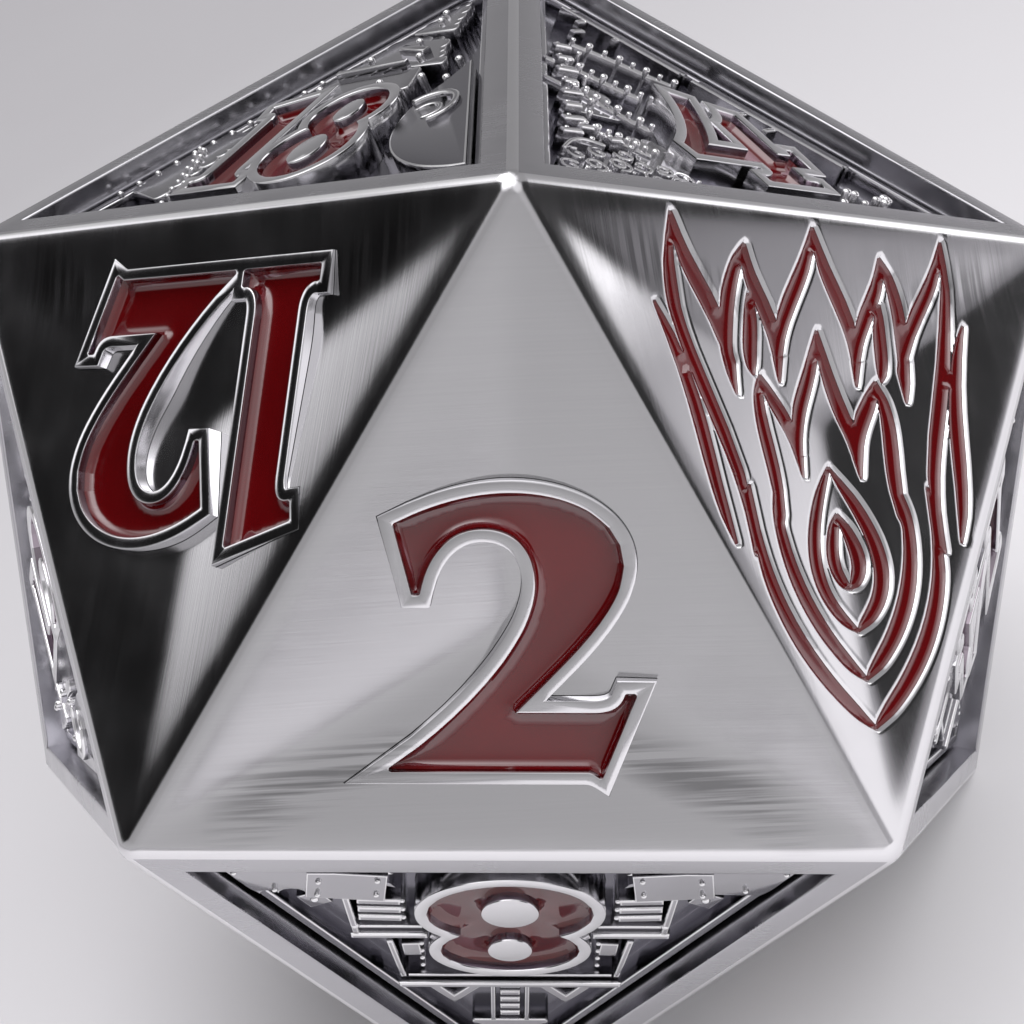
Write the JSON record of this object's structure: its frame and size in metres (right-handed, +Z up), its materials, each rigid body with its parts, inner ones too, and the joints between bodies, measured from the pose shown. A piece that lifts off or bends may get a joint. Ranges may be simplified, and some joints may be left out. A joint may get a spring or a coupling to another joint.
{
  "type": "polyhedral die",
  "caption": "Icosahedral metal die with rimmed numerals, red enamel fills, dished polished faces and sunk relief faces; rests on any face.",
  "frame": {"origin": "centre of the face it rests on, at the resting plane", "axes": "+Z up through the centre of the top face; the front corner of the top face points to -Y; +X to the right as seen from -Y"},
  "size_m": [0.0226, 0.026, 0.0212],
  "materials": {
    "body_metal": "bright plated casting, polished faces with fine brush lines, flat frames satin",
    "number_metal": "polished silver-coloured rims with small bright bevels",
    "relief_metal": "darkened smooth metal, deepest in tone on the ground, with bright rubbed edges and beads",
    "red_enamel": "glossy translucent red enamel with a meniscus along its walls"
  },
  "bodies": {
    "root": {"die_body": "body_metal", "relief_plate_3": "relief_metal", "relief_plate_4": "relief_metal", "relief_plate_5": "relief_metal", "relief_plate_6": "relief_metal", "relief_plate_7": "relief_metal", "relief_plate_8": "relief_metal", "relief_plate_10": "relief_metal", "relief_plate_11": "relief_metal", "relief_plate_13": "relief_metal", "relief_plate_14": "relief_metal", "relief_plate_15": "relief_metal", "relief_plate_16": "relief_metal", "relief_plate_17": "relief_metal", "relief_plate_18": "relief_metal", "number_1": "number_metal", "number_2": "number_metal", "number_3": "number_metal", "number_4": "number_metal", "number_5": "number_metal", "number_6": "number_metal", "number_7": "number_metal", "number_8": "number_metal", "number_9": "number_metal", "number_10": "number_metal", "number_11": "number_metal", "number_12": "number_metal", "number_13": "number_metal", "number_14": "number_metal", "number_15": "number_metal", "number_16": "number_metal", "number_17": "number_metal", "number_18": "number_metal", "number_19": "number_metal", "enamel_1": "red_enamel", "enamel_2": "red_enamel", "enamel_3": "red_enamel", "enamel_4": "red_enamel", "enamel_5": "red_enamel", "enamel_6": "red_enamel", "enamel_7": "red_enamel", "enamel_8": "red_enamel", "enamel_9": "red_enamel", "enamel_10": "red_enamel", "enamel_11": "red_enamel", "enamel_12": "red_enamel", "enamel_13": "red_enamel", "enamel_14": "red_enamel", "enamel_15": "red_enamel", "enamel_16": "red_enamel", "enamel_17": "red_enamel", "enamel_18": "red_enamel", "enamel_19": "red_enamel", "enamel_20": "red_enamel"}
  },
  "joints": []
}
